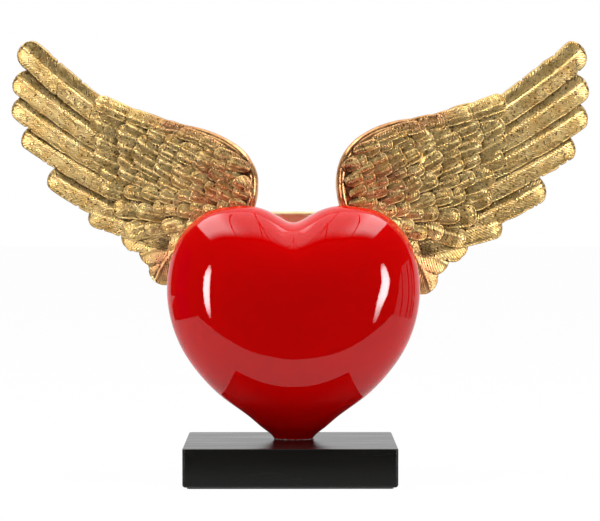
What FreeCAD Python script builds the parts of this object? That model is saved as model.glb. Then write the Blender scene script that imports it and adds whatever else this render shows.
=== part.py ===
import FreeCAD, Part
import math
import os
import Sketcher

# A winged heart on a block: a cast heart stands on a lacquered block, held by a tie rod,
# and two gilded cast wings are screwed to a gold yoke on the heart's back.
# Millimetres. +Z is up and -Y is the front. The origin is the middle of the felt's underside.

V = FreeCAD.Vector
X_AXIS = V(1, 0, 0)
Y_AXIS = V(0, 1, 0)
Z_AXIS = V(0, 0, 1)
FRONT = V(0, -1, 0)

SIZES = [
    ("FeltThick", 1.0, "felt sheet under the base"),
    ("FeltInset", 3.0, "from the block's edge to the felt's edge"),
    ("BaseWidth", 144.5, "block, left to right"),
    ("BaseDepth", 98.0, "block, front to back"),
    ("BaseHeight", 26.0, "block, without the felt"),
    ("BaseCornerRadius", 2.4, "block's upright edges"),
    ("BaseFootRadius", 2.0, "block's lower edges"),
    ("BaseTopRadius", 0.7, "block's top edges"),
    ("RodRadius", 3.0, "M6 tie rod"),
    ("RodClearance", 0.3, "rod to its hole in the block"),
    ("BondClearance", 0.05, "rod or screw to the hole that it is bonded or driven into"),
    ("RodInHeart", 33.0, "length of rod above the block"),
    ("RodBelowNut", 1.5, "rod end below the nut"),
    ("CounterboreRadius", 9.0, "pocket for the nut, under the block"),
    ("CounterboreDepth", 10.0, "pocket for the nut, under the block"),
    ("WasherRadius", 6.0, "M6 washer, outside"),
    ("WasherThick", 1.2, "M6 washer"),
    ("NutFlats", 10.0, "M6 nut, across flats"),
    ("NutHeight", 5.0, "M6 nut"),
    ("HeartWidth", 176.0, "heart, left to right"),
    ("HeartHeight", 162.5, "block's top to the top of the lobes"),
    ("HeartDepth", 90.0, "heart, front to back, before the seat is cut"),
    ("HeartShift", 2.2, "heart's middle, to the right of the block's"),
    ("HeartSetBack", 8.0, "heart's middle, behind the block's"),
    ("SeatDepth", 43.0, "heart's middle plane to the flat seat on its back"),
    ("YokeThick", 6.0, "gold yoke plate"),
    ("YokeTopDrop", 5.0, "lobes' top to the yoke's top edge"),
    ("YokeBarHeight", 36.0, "yoke's cross bar"),
    ("YokeStemWidth", 36.0, "yoke's stem"),
    ("YokeStemReach", 90.0, "yoke's top edge to the stem's foot"),
    ("YokeCornerRadius", 8.0, "corners of the stem's foot and of the pads"),
    ("YokeLipRadius", 2.4, "rolled top edge of the yoke"),
    ("ScrewRadius", 2.0, "M4 screws"),
    ("ScrewHeadRadius", 4.0, "M4 pan head"),
    ("ScrewHeadHeight", 2.6, "M4 pan head"),
    ("ScrewReach", 5.5, "screw length beyond the yoke"),
    ("ScrewHoleSpare", 0.7, "blind hole beyond the screw's end"),
    ("YokeScrewLow", 16.0, "stem's foot to the lower screw"),
    ("YokeScrewPitch", 20.0, "between the two screws of the stem"),
    ("WingSpan", 191.0, "wing root's origin to the outermost feather tip"),
    ("WingRise", 0.6, "lobes' top down to the wing root's origin"),
    ("WingGapHalf", 22.7, "wings' middle to each wing root's origin"),
    ("WingShift", 4.3, "wings' middle, to the right of the block's"),
    ("WingSweepRight", 8.0, "degrees that the right wing leans back"),
    ("WingSweepLeft", 10.0, "degrees that the left wing leans back"),
    ("WingCantLeft", 3.7, "degrees that the left wing is turned up"),
    ("WingDropLeft", 5.0, "how much lower the left wing's root is set"),
    ("WingRiseLeft", 0.916, "left casting's height, as a share of the right one's"),
    ("WingPlate", 5.0, "core plate that the feathers stand on"),
    ("RootBlock", 7.5, "thickness of the wing's hidden root"),
    ("PrimaryTop", 4.2, "front of the flight feathers, from the wing's back"),
    ("GreaterTop", 6.4, "front of the greater coverts"),
    ("MedianTop", 8.2, "front of the median coverts"),
    ("LesserTop", 10.0, "front of the lesser coverts"),
    ("ShoulderTop", 11.8, "front of the shoulder feathers"),
    ("FeatherBack", 1.2, "back of every feather, from the wing's back"),
    ("FeatherTilt", 6.0, "degrees that a feather's trailing edge stands forward"),
    ("FeatherPitch", 3.5, "degrees that the flight feathers' tips lean back"),
    ("RachisWidth", 1.8, "shaft along a feather, at its root"),
    ("RachisProud", 0.7, "shaft above the feather's face"),
]

# The wing is drawn in its own plane: x runs outwards from the root and z runs up. WingSpan scales it.
# A flight feather is (root, tip, width, bow), and a positive bow bends it towards the leading edge.
FLIGHT_FEATHERS = [
    ((103, 54), (189, 117), 21.0, -3.0),
    ((104, 40), (191, 90), 23.0, 0.0),
    ((104, 21), (190.5, 69), 24.0, -1.5),
    ((98, 5), (181.5, 47), 22.0, -1.0),
    ((84, -19), (160, 15), 20.0, -1.5),
    ((76, -28), (127, -14), 16.0, 1.0),
    ((58, -22), (101.5, -31.5), 17.0, -2.0),
    ((50, -26), (86.5, -43.5), 17.0, 0.0),
    ((56, -30), (73.5, -62.5), 16.0, 2.5),
]

# A row of coverts is (count, root line, tip line, widths at its two ends). Each line is a bent one: leading end,
# middle, trailing end.
GREATER_COVERTS = (8, ((82, 59), (76, 22), (58, -18)), ((125, 68), (123, 28), (98, -24)), (17.5, 13.0))
MEDIAN_COVERTS = (9, ((55, 53), (51, 21), (45, -16)), ((98, 64), (95, 27), (76, -19)), (14.0, 9.5))
LESSER_COVERTS = (8, ((31, 46), (27, 21), (33, -11)), ((73, 59), (69, 25), (58, -15)), (12.5, 9.0))
SHOULDER_FEATHERS = (6, ((15, 31), (14, 16), (23, -8)), ((48, 53), (43, 22), (41, -12)), (13.0, 10.0))

PLATE_EDGE = [
    (7, 14), (7.5, 28), (13, 40), (24, 50), (46, 61), (69, 64), (92, 69), (115, 76.5), (130, 84), (136, 66),
    (130, 36), (120, 8), (104, -18), (84, -32), (68, -48), (58, -40), (46, -28), (14, -12),
]
ROOT_BLOCK_EDGE = [(12, -2), (12, -36), (50, -40), (50, -6)]
WING_SCREW_SPOTS = [(22, -13), (38, -27)]
YOKE_PAD_EDGE = [(3, -4), (3, -36), (46, -36), (46, -4)]

# The heart's outline. Above its widest height it is (degrees, radius as a share of the half width), and below it
# is (half width, height), both as shares: of the half width, and of the height from the block to the widest.
HEART_WIDEST = 0.612
HEART_UPPER = [
    (0, 1.0), (8, 1.004), (18, 1.013), (28, 1.012), (36, 0.99), (44, 0.955), (53, 0.879), (63, 0.802),
    (75.5, 0.682), (90, 0.574),
]
HEART_CROWN = 0.64
HEART_LOWER = [
    (1.0, 1.0), (0.959, 0.789), (0.878, 0.621), (0.744, 0.453), (0.553, 0.285), (0.297, 0.118),
    (0.165, 0.025), (0.14, -0.06), (0.0, -0.16),
]
SECTION_ANGLES = [-82, -66, -49, -32, -16, 0, 16, 32, 49, 66, 82]

doc = FreeCAD.newDocument("winged_heart")
sheet = doc.addObject("Spreadsheet::Sheet", "Sizes")


def fill_sheet():
    for row, (alias, value, note) in enumerate(SIZES, 1):
        sheet.set(f"A{row}", note)
        sheet.set(f"B{row}", str(value))
        sheet.setAlias(f"B{row}", alias)
    doc.recompute()


def size(alias):
    return float(getattr(sheet, alias))


def keep(name, shape):
    """A sub-part whose shape is set here rather than by a feature's own properties."""
    part = doc.addObject("Part::Feature", name)
    part.Label = name
    part.Shape = shape
    return part


def base_top():
    return size("FeltThick") + size("BaseHeight")


def heart_top():
    return base_top() + size("HeartHeight")


def heart_axis(height):
    return V(size("HeartShift"), size("HeartSetBack"), height)


def seat_plane():
    return size("HeartSetBack") + size("SeatDepth")


def yoke_top():
    return heart_top() - size("YokeTopDrop")


def yoke_foot():
    return yoke_top() - size("YokeStemReach")


# Sketch helpers


def origin_plane(body, role):
    return next(f for f in body.Origin.OriginFeatures if f.Role == role)


def new_sketch(body, name, role, offset=None):
    sketch = body.newObject("Sketcher::SketchObject", name)
    sketch.AttachmentSupport = [(origin_plane(body, role), "")]
    sketch.MapMode = "FlatFace"
    if offset:
        sketch.setExpression("AttachmentOffset.Base.z", offset)
    return sketch


def centred_rectangle(sketch, width, height):
    """A rectangle about the sketch's origin, its sides bound to two expressions."""
    corners = [V(-10, -10, 0), V(10, -10, 0), V(10, 10, 0), V(-10, 10, 0)]
    for start, end in zip(corners, corners[1:] + corners[:1]):
        sketch.addGeometry(Part.LineSegment(start, end), False)
    for side in range(4):
        sketch.addConstraint(Sketcher.Constraint("Coincident", side, 2, (side + 1) % 4, 1))
    sketch.addConstraint(Sketcher.Constraint("Horizontal", 0))
    sketch.addConstraint(Sketcher.Constraint("Horizontal", 2))
    sketch.addConstraint(Sketcher.Constraint("Vertical", 1))
    sketch.addConstraint(Sketcher.Constraint("Vertical", 3))
    sketch.addConstraint(Sketcher.Constraint("Symmetric", 0, 1, 1, 2, -1, 1))
    across = sketch.addConstraint(Sketcher.Constraint("DistanceX", 0, 1, 0, 2, 20))
    along = sketch.addConstraint(Sketcher.Constraint("DistanceY", 1, 1, 1, 2, 20))
    sketch.setExpression(f"Constraints[{across}]", width)
    sketch.setExpression(f"Constraints[{along}]", height)


def centred_circle(sketch, radius):
    sketch.addGeometry(Part.Circle(V(0, 0, 0), Z_AXIS, 5), False)
    sketch.addConstraint(Sketcher.Constraint("Coincident", 0, 3, -1, 1))
    bound = sketch.addConstraint(Sketcher.Constraint("Radius", 0, 5))
    sketch.setExpression(f"Constraints[{bound}]", radius)


def centred_hexagon(sketch, flats):
    """A regular hexagon about the sketch's origin, with its distance across flats bound."""
    for turn in range(6):
        start = V(6 * math.cos(math.radians(60 * turn)), 6 * math.sin(math.radians(60 * turn)), 0)
        end = V(6 * math.cos(math.radians(60 * turn + 60)), 6 * math.sin(math.radians(60 * turn + 60)), 0)
        sketch.addGeometry(Part.LineSegment(start, end), False)
    circle = sketch.addGeometry(Part.Circle(V(0, 0, 0), Z_AXIS, 6), True)
    sketch.addConstraint(Sketcher.Constraint("Coincident", circle, 3, -1, 1))
    for side in range(6):
        sketch.addConstraint(Sketcher.Constraint("Coincident", side, 2, (side + 1) % 6, 1))
        sketch.addConstraint(Sketcher.Constraint("PointOnObject", side, 1, circle))
    for side in range(5):
        sketch.addConstraint(Sketcher.Constraint("Equal", side, side + 1))
    sketch.addConstraint(Sketcher.Constraint("PointOnObject", 0, 1, -1))
    bound = sketch.addConstraint(Sketcher.Constraint("Radius", circle, 6))
    sketch.setExpression(f"Constraints[{bound}]", f"{flats} / sqrt(3)")


def pad(body, sketch, name, length, downwards=False):
    feature = body.newObject("PartDesign::Pad", name)
    feature.Profile = sketch
    feature.Reversed = downwards
    feature.setExpression("Length", length)
    doc.recompute()
    return feature


def pocket(body, sketch, name, length=None):
    """Cuts upwards from the sketch, right through unless a length is given, and proves that it cut."""
    before = body.Shape.Volume
    feature = body.newObject("PartDesign::Pocket", name)
    feature.Profile = sketch
    feature.Reversed = True
    if length:
        feature.setExpression("Length", length)
    else:
        feature.Type = "ThroughAll"
    doc.recompute()
    assert body.Shape.Volume < before, name + " cuts nothing"
    return feature


def fillet(body, name, radius, wanted):
    """Rounds the edges of the body's tip for which wanted(edge) is true."""
    last = body.Tip
    edges = [f"Edge{i}" for i, edge in enumerate(last.Shape.Edges, 1) if wanted(edge)]
    assert edges, name + " finds no edges"
    feature = body.newObject("PartDesign::Fillet", name)
    feature.Base = (last, edges)
    feature.setExpression("Radius", radius)
    doc.recompute()
    return feature


def is_upright(edge):
    box = edge.BoundBox
    return box.ZLength > 0.5 and box.XLength < 1e-4 and box.YLength < 1e-4


def lies_at(height):
    return lambda edge: edge.BoundBox.ZLength < 1e-4 and abs(edge.BoundBox.ZMin - height) < 1e-4


# Base, felt and tie rod


def make_base_block():
    body = doc.addObject("PartDesign::Body", "base_block")
    body.Label = "base_block"
    plan = new_sketch(body, "block_plan", "XY_Plane", "Sizes.FeltThick")
    centred_rectangle(plan, "Sizes.BaseWidth", "Sizes.BaseDepth")
    pad(body, plan, "block_pad", "Sizes.BaseHeight")
    fillet(body, "block_corners", "Sizes.BaseCornerRadius", is_upright)
    fillet(body, "block_foot", "Sizes.BaseFootRadius", lies_at(size("FeltThick")))
    fillet(body, "block_rim", "Sizes.BaseTopRadius", lies_at(base_top()))
    well = new_sketch(body, "nut_well_plan", "XY_Plane", "Sizes.FeltThick")
    centred_circle(well, "Sizes.CounterboreRadius")
    well.setExpression("AttachmentOffset.Base.x", "Sizes.HeartShift")
    well.setExpression("AttachmentOffset.Base.y", "Sizes.HeartSetBack")
    pocket(body, well, "nut_well", "Sizes.CounterboreDepth")
    hole = new_sketch(body, "rod_hole_plan", "XY_Plane", "Sizes.FeltThick")
    centred_circle(hole, "Sizes.RodRadius + Sizes.RodClearance")
    hole.setExpression("AttachmentOffset.Base.x", "Sizes.HeartShift")
    hole.setExpression("AttachmentOffset.Base.y", "Sizes.HeartSetBack")
    pocket(body, hole, "rod_hole")
    return body


def make_felt_sheet():
    body = doc.addObject("PartDesign::Body", "felt_sheet")
    body.Label = "felt_sheet"
    plan = new_sketch(body, "felt_plan", "XY_Plane")
    centred_rectangle(plan, "Sizes.BaseWidth - 2 * Sizes.FeltInset", "Sizes.BaseDepth - 2 * Sizes.FeltInset")
    pad(body, plan, "felt_pad", "Sizes.FeltThick")
    fillet(body, "felt_corners", "Sizes.BaseCornerRadius", is_upright)
    return body


WASHER_UNDERSIDE = "Sizes.FeltThick + Sizes.CounterboreDepth - Sizes.WasherThick"


def make_rod_washer():
    body = doc.addObject("PartDesign::Body", "rod_washer")
    body.Label = "rod_washer"
    ring = new_sketch(body, "washer_plan", "XY_Plane", WASHER_UNDERSIDE)
    centred_circle(ring, "Sizes.WasherRadius")
    pad(body, ring, "washer_pad", "Sizes.WasherThick")
    hole = new_sketch(body, "washer_hole_plan", "XY_Plane", WASHER_UNDERSIDE)
    centred_circle(hole, "Sizes.RodRadius + Sizes.RodClearance")
    pocket(body, hole, "washer_hole")
    body.setExpression("Placement.Base.x", "Sizes.HeartShift")
    body.setExpression("Placement.Base.y", "Sizes.HeartSetBack")
    return body


def make_rod_nut():
    body = doc.addObject("PartDesign::Body", "rod_nut")
    body.Label = "rod_nut"
    underside = WASHER_UNDERSIDE + " - Sizes.NutHeight"
    hexagon = new_sketch(body, "nut_plan", "XY_Plane", underside)
    centred_hexagon(hexagon, "Sizes.NutFlats")
    pad(body, hexagon, "nut_pad", "Sizes.NutHeight")
    hole = new_sketch(body, "nut_hole_plan", "XY_Plane", underside)
    centred_circle(hole, "Sizes.RodRadius + Sizes.BondClearance")
    pocket(body, hole, "nut_hole")
    body.setExpression("Placement.Base.x", "Sizes.HeartShift")
    body.setExpression("Placement.Base.y", "Sizes.HeartSetBack")
    return body


def make_tie_rod():
    rod = doc.addObject("Part::Cylinder", "rod_blank")
    rod.setExpression("Radius", "Sizes.RodRadius")
    rod.setExpression("Height", "Sizes.BaseHeight + Sizes.RodInHeart - Sizes.CounterboreDepth"
                                " + Sizes.WasherThick + Sizes.NutHeight + Sizes.RodBelowNut")
    doc.recompute()
    chamfered = doc.addObject("Part::Chamfer", "tie_rod")
    chamfered.Label = "tie_rod"
    chamfered.Base = rod
    chamfer = size("RodRadius") / 5
    rims = [i for i, edge in enumerate(rod.Shape.Edges, 1) if edge.BoundBox.ZLength < 1e-4]
    chamfered.Edges = [(i, chamfer, chamfer) for i in rims]
    rod.setExpression("Placement.Base.x", "Sizes.HeartShift")
    rod.setExpression("Placement.Base.y", "Sizes.HeartSetBack")
    rod.setExpression("Placement.Base.z", WASHER_UNDERSIDE + " - Sizes.NutHeight - Sizes.RodBelowNut")
    return chamfered


# Heart


def lower_outline():
    """The curve from the heart's widest place down to its hidden point, in shares."""
    curve = Part.BSplineCurve()
    curve.interpolate(Points=[V(x, 0, z) for x, z in HEART_LOWER], InitialTangent=V(0, 0, -1), FinalTangent=V(-1, 0, 0))
    return curve


def parameter_at_width(curve, width):
    low, high = curve.FirstParameter, curve.LastParameter
    for step in range(40):
        middle = (low + high) / 2
        if curve.value(middle).x > width:
            low = middle
        else:
            high = middle
    return high


def upper_points(spread):
    """From the dip to just above the widest place, for a section drawn in to the share spread."""
    points = []
    for angle, radius in reversed(HEART_UPPER[1:]):
        across, up = math.cos(math.radians(angle)), math.sin(math.radians(angle))
        oval = 1 / math.hypot(across, up / HEART_CROWN)
        reach = spread * (oval + (radius - oval) * spread ** 2.5)
        points.append((across * reach, up * reach))
    return points


def lower_points(curve, depth, drop):
    """From the widest place down to the section's lowest point. Every level of the heart is the same oval."""
    end = parameter_at_width(curve, depth)
    points = []
    for step in range(8):
        spot = curve.value(curve.FirstParameter + (end - curve.FirstParameter) * step / 7)
        across = math.sqrt(max(0.0, spot.x ** 2 - depth ** 2))
        points.append((across, (spot.z - 1) * drop))
    return points


def section_points(curve, angle):
    """Points round the heart, where the heart's surface is sin(angle) of the way to the back."""
    half_width = size("HeartWidth") / 2
    drop = HEART_WIDEST * size("HeartHeight") / half_width
    depth = abs(math.sin(math.radians(angle)))
    right = upper_points(math.cos(math.radians(angle))) + lower_points(curve, depth, drop)
    left = [(-x, z) for x, z in reversed(right[1:-1])]
    level = size("HeartDepth") / 2 * math.sin(math.radians(angle))
    return [V(x * half_width, level, z * half_width) for x, z in right + left]


def heart_solid():
    """The heart's rounded body, lofted through its sections. All of them share one spacing of their points."""
    curve = lower_outline()
    widest = section_points(curve, 0)
    spacing = [0.0]
    for start, end in zip(widest, widest[1:] + widest[:1]):
        spacing.append(spacing[-1] + (end - start).Length)
    wires = []
    for angle in SECTION_ANGLES:
        section = Part.BSplineCurve()
        section.interpolate(Points=section_points(curve, angle), PeriodicFlag=True, Parameters=spacing)
        wires.append(Part.Wire([section.toShape()]))
    half_depth = size("HeartDepth") / 2
    poles = [Part.Vertex(V(0, -half_depth, 0)), Part.Vertex(V(0, half_depth, 0))]
    body = Part.makeLoft(poles[:1] + wires + poles[1:], True, False)
    body.translate(heart_axis(base_top() + HEART_WIDEST * size("HeartHeight")))
    return body


def screw_heights():
    low = yoke_foot() + size("YokeScrewLow")
    return [low, low + size("YokeScrewPitch")]


def make_heart_body():
    """A solid casting, cut flat where it stands on the block and where the yoke sits against its back."""
    seat = seat_plane()
    below = Part.makeBox(400, 400, 200, V(-200, -200, base_top() - 200))
    behind = Part.makeBox(400, 100, 400, V(-200, seat, 0))
    body = heart_solid().cut(below).cut(behind)
    hole_radius = size("ScrewRadius") + size("BondClearance")
    hole_depth = size("ScrewReach") + size("ScrewHoleSpare")
    for height in screw_heights():
        mouth = V(size("HeartShift"), seat, height)
        body = body.cut(Part.makeCylinder(hole_radius, hole_depth, mouth, FRONT))
    bore_radius = size("RodRadius") + size("BondClearance")
    bore_depth = size("RodInHeart") + size("BondClearance")
    bore = Part.makeCylinder(bore_radius, bore_depth, heart_axis(base_top()))
    return keep("heart_body", body.cut(bore))


# Wings


def wing_stretch():
    """The wing is drawn at one size, and this carries the drawing to WingSpan."""
    return size("WingSpan") / max(tip[0] for root, tip, width, bow in FLIGHT_FEATHERS)


def on_plan(point, rise=1.0):
    """A point of the drawing in the wing's plane. The rise flattens the left casting's drawing."""
    return V(point[0] * wing_stretch(), 0, point[1] * wing_stretch() * rise)


def plan_prism(points, back, front, rise=1.0, smooth=False):
    """A prism over a closed outline of the wing's plan, between two heights above the wing's back."""
    places = [on_plan(p, rise) - V(0, back, 0) for p in points]
    if smooth:
        edge = Part.BSplineCurve()
        edge.interpolate(Points=places, PeriodicFlag=True)
        outline = Part.Wire([edge.toShape()])
    else:
        outline = Part.makePolygon(places + places[:1])
    return Part.Face(outline).extrude(FRONT * (front - back))


def feather(root, tip, width, bow, top, pitch, shaft, rise):
    """One feather as a leaf-shaped slab, tilted so that its trailing edge laps over the next one."""
    start, end = on_plan(root, rise), on_plan(tip, rise)
    stretch = wing_stretch()
    length = (end - start).Length
    along = (end - start) * (1 / length)
    across = along.cross(FRONT) * -1
    if across.z < 0:
        across = across * -1
    half = width * stretch / 2

    def place(share, side):
        bend = bow * stretch * 4 * share * (1 - share)
        return start + along * (share * length) + across * (side * half + bend)

    round_from = 1 - 0.8 * half / length
    near_tip = 1 - 0.25 * half / length
    back, front = size("FeatherBack"), top
    lead = Part.BSplineCurve()
    lead.interpolate([place(0, 0.72), place(0.35, 0.94), place(0.7, 1.0), place(round_from, 0.84)])
    trail = Part.BSplineCurve()
    trail.interpolate([place(round_from, -0.84), place(0.7, -1.0), place(0.35, -0.94), place(0, -0.72)])
    lead_arc = Part.Arc(place(round_from, 0.84), place(near_tip, 0.56), place(1, 0))
    trail_arc = Part.Arc(place(1, 0), place(near_tip, -0.56), place(round_from, -0.84))
    close = Part.LineSegment(place(0, -0.72), place(0, 0.72))
    rim = Part.Wire([c.toShape() for c in (lead, lead_arc, trail_arc, trail, close)])
    leaf = Part.Face(rim)
    leaf.translate(FRONT * back)
    pieces = [leaf.extrude(FRONT * (front - back))]
    if shaft:
        thin = size("RachisWidth") / 2
        rib = [place(0, 0) + across * thin, place(0.5, 0) + across * thin * 0.8, place(0.9, 0)]
        rib += [place(0.5, 0) - across * thin * 0.8, place(0, 0) - across * thin]
        blade = Part.Face(Part.makePolygon(rib + rib[:1]))
        blade.translate(FRONT * (back + 0.5))
        pieces.append(blade.extrude(FRONT * (front - back + size("RachisProud") - 0.5)))
    pivot = start + FRONT * back
    for piece in pieces:
        piece.rotate(pivot, across, pitch)
        piece.rotate(pivot, along, -size("FeatherTilt"))
    return pieces


def along_line(line, share):
    """A point on a bent line that passes its three given points."""
    first, middle, last = line
    weights = ((1 - share) * (1 - 2 * share), 4 * share * (1 - share), share * (2 * share - 1))
    return tuple(weights[0] * a + weights[1] * b + weights[2] * c for a, b, c in zip(first, middle, last))


def covert_row(row, top, shaft, rise):
    count, roots, tips, widths = row
    pieces = []
    for place in range(count):
        share = place / (count - 1)
        width = widths[0] + (widths[1] - widths[0]) * share
        root, tip = along_line(roots, share), along_line(tips, share)
        pieces += feather(root, tip, width, 0.0, top, 0.0, shaft, rise)
    return pieces


def wing_solid(rise):
    """A right wing in its own plane: its back lies at y = 0 and its root's origin at the origin."""
    pieces = [plan_prism(ROOT_BLOCK_EDGE, 0, size("RootBlock"))]
    for root, tip, width, bow in FLIGHT_FEATHERS:
        pieces += feather(root, tip, width, bow, size("PrimaryTop"), size("FeatherPitch"), True, rise)
    pieces += covert_row(GREATER_COVERTS, size("GreaterTop"), True, rise)
    pieces += covert_row(MEDIAN_COVERTS, size("MedianTop"), False, rise)
    pieces += covert_row(LESSER_COVERTS, size("LesserTop"), False, rise)
    pieces += covert_row(SHOULDER_FEATHERS, size("ShoulderTop"), False, rise)
    plate = plan_prism(PLATE_EDGE, 0, size("WingPlate"), rise, smooth=True)
    solid = plate.multiFuse(pieces)
    for spot in WING_SCREW_SPOTS:
        depth = size("ScrewReach") + size("ScrewHoleSpare")
        hole = Part.makeCylinder(size("ScrewRadius") + size("BondClearance"), depth, on_plan(spot), FRONT)
        solid = solid.cut(hole)
    return solid


def set_on_heart(shape, side):
    """Carries a shape from the wing's plane to the right (1) or left (-1) of the heart's back."""
    moved = shape.copy()
    sweep = size("WingSweepRight")
    drop = size("WingRise")
    if side < 0:
        sweep = size("WingSweepLeft")
        drop += size("WingDropLeft")
        moved.rotate(V(0, 0, 0), Y_AXIS, -size("WingCantLeft"))
        moved = moved.mirror(V(0, 0, 0), X_AXIS)
    moved.rotate(V(0, 0, 0), Z_AXIS, side * sweep)
    moved.translate(V(size("WingShift") + side * size("WingGapHalf"), seat_plane(), heart_top() - drop))
    return moved


def make_wings():
    keep("wing_right", set_on_heart(wing_solid(1.0), 1))
    keep("wing_left", set_on_heart(wing_solid(size("WingRiseLeft")), -1))


# Yoke and screws


def rounded_plate(points, thick):
    """A flat plate behind the wing's back, its corners rounded."""
    plate = plan_prism(points, -thick, 0)
    corners = [e for e in plate.Edges if e.BoundBox.YLength > thick / 2]
    return plate.makeFillet(size("YokeCornerRadius") * 0.9, corners)


def yoke_screw_mouths():
    behind = seat_plane() + size("YokeThick")
    return [V(size("HeartShift"), behind, height) for height in screw_heights()]


def make_wing_yoke():
    seat, thick = seat_plane(), size("YokeThick")
    middle, half_gap = size("WingShift"), size("WingGapHalf")
    overlap = 8.0
    bar_width = 2 * (half_gap + overlap)
    bar_low = yoke_top() - size("YokeBarHeight")
    bar = Part.makeBox(bar_width, thick, size("YokeBarHeight"), V(middle - bar_width / 2, seat, bar_low))
    lip = [e for e in bar.Edges if e.BoundBox.XLength > bar_width / 2 and e.BoundBox.ZMin > yoke_top() - 0.01]
    bar = bar.makeFillet(size("YokeLipRadius"), lip)
    stem_width = size("YokeStemWidth")
    stem = Part.makeBox(stem_width, thick, size("YokeStemReach") - size("YokeLipRadius") - 1,
                        V(size("HeartShift") - stem_width / 2, seat, yoke_foot()))
    feet = [e for e in stem.Edges if e.BoundBox.YLength > thick / 2 and e.BoundBox.ZMax < yoke_foot() + 0.01]
    stem = stem.makeFillet(size("YokeCornerRadius"), feet)
    pad_plate = rounded_plate(YOKE_PAD_EDGE, thick)
    yoke = bar.fuse([stem, set_on_heart(pad_plate, 1), set_on_heart(pad_plate, -1)]).removeSplitter()
    hole_radius = size("ScrewRadius") + size("RodClearance")
    for mouth in yoke_screw_mouths():
        yoke = yoke.cut(Part.makeCylinder(hole_radius, thick, mouth, FRONT))
    for spot in WING_SCREW_SPOTS:
        through = Part.makeCylinder(hole_radius, 3 * thick, on_plan(spot) + Y_AXIS * 2 * thick, FRONT)
        for side in (1, -1):
            yoke = yoke.cut(set_on_heart(through, side))
    return keep("wing_yoke", yoke)


def screw(reach):
    """A pan-head screw along -Y, its head's underside at the origin."""
    radius, head, rise = size("ScrewRadius"), size("ScrewHeadRadius"), size("ScrewHeadHeight")
    point = radius / 2
    profile = Part.makePolygon([
        V(0, rise, 0), V(head * 0.55, rise, 0), V(head, rise * 0.45, 0), V(head, 0, 0),
        V(radius, 0, 0), V(radius, point - reach, 0), V(radius - point, -reach, 0), V(0, -reach, 0), V(0, rise, 0),
    ])
    turned = Part.Face(profile).revolve(V(0, 0, 0), Y_AXIS, 360)
    slot_width, slot_depth = radius / 2, rise / 3
    slot = Part.makeBox(2 * head, slot_depth + 1, slot_width, V(-head, rise - slot_depth, -slot_width / 2))
    return turned.cut(slot)


def make_screws():
    reach = size("YokeThick") + size("ScrewReach")
    blank = screw(reach)
    yoke_screws = []
    for mouth in yoke_screw_mouths():
        placed = blank.copy()
        placed.translate(mouth)
        yoke_screws.append(placed)
    keep("yoke_screws", Part.makeCompound(yoke_screws))
    for name, side in (("wing_screws_right", 1), ("wing_screws_left", -1)):
        placed_screws = []
        for spot in WING_SCREW_SPOTS:
            placed = blank.copy()
            placed.translate(on_plan(spot) + Y_AXIS * size("YokeThick"))
            placed_screws.append(set_on_heart(placed, side))
        keep(name, Part.makeCompound(placed_screws))


# Checks and export


SUB_PARTS = [
    "base_block", "felt_sheet", "rod_washer", "rod_nut", "tie_rod", "heart_body", "wing_right", "wing_left",
    "wing_yoke", "yoke_screws", "wing_screws_right", "wing_screws_left",
]


def check_and_export():
    doc.recompute()
    for item in doc.Objects:
        assert "Invalid" not in item.State and "Error" not in item.State, item.Name + " failed"
    os.makedirs("parts", exist_ok=True)
    for name in SUB_PARTS:
        shape = doc.getObject(name).Shape
        assert not shape.isNull() and shape.isValid(), name + " has no valid shape"
        assert len(shape.Solids) >= 1, name + " is no solid"
        print(f"{name}: {len(shape.Solids)} solid(s), {shape.Volume / 1000:.1f} cm3, {len(shape.Faces)} faces")
        shape.exportStep(f"parts/{name}.step")


fill_sheet()
make_base_block()
make_felt_sheet()
make_rod_washer()
make_rod_nut()
make_tie_rod()
make_heart_body()
make_wings()
make_wing_yoke()
make_screws()
check_and_export()
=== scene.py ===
import math
import bmesh
import bpy
import numpy as np
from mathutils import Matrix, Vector


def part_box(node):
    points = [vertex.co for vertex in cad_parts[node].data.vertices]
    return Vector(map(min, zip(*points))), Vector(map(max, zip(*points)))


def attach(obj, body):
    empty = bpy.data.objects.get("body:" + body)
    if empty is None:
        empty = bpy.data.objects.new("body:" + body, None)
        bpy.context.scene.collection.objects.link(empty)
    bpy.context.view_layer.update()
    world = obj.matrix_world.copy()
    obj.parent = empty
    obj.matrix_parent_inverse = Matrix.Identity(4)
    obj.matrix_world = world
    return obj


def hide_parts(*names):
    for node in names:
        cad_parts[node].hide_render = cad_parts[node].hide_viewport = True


# A winged heart on a block. Shapes are worked out in millimetres in the CAD frame and turned into metres
# when their mesh is made. +Z is up and -Y is the front.

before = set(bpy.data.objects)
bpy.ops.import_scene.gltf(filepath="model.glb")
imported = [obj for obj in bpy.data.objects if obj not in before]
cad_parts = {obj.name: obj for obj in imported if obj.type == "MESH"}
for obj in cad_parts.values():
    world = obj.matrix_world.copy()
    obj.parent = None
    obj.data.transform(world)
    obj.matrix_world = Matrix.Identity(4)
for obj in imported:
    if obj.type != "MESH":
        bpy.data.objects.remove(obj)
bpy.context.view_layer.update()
MM = 0.001

HEART_LOW, HEART_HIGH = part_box("heart_body")
BASE_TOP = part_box("base_block")[1].z / MM
HEART_TOP = HEART_HIGH.z / MM
SEAT = HEART_HIGH.y / MM
HEART_X = (HEART_LOW.x + HEART_HIGH.x) / 2 / MM
# The heart's middle plane lies this far behind the block's
HEART_Y = 8.0


# Camera. Its focal length is in pixels of the picture, and its turns are in degrees.

SENSOR_WIDTH = 36
PICTURE_WIDTH = 600
FOCAL_PIXELS = 2030
CAMERA_PLACE = (0, -1.398, 0.1985)
CAMERA_DOWN = 1.9326
CAMERA_RIGHT = 0.2738

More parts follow.
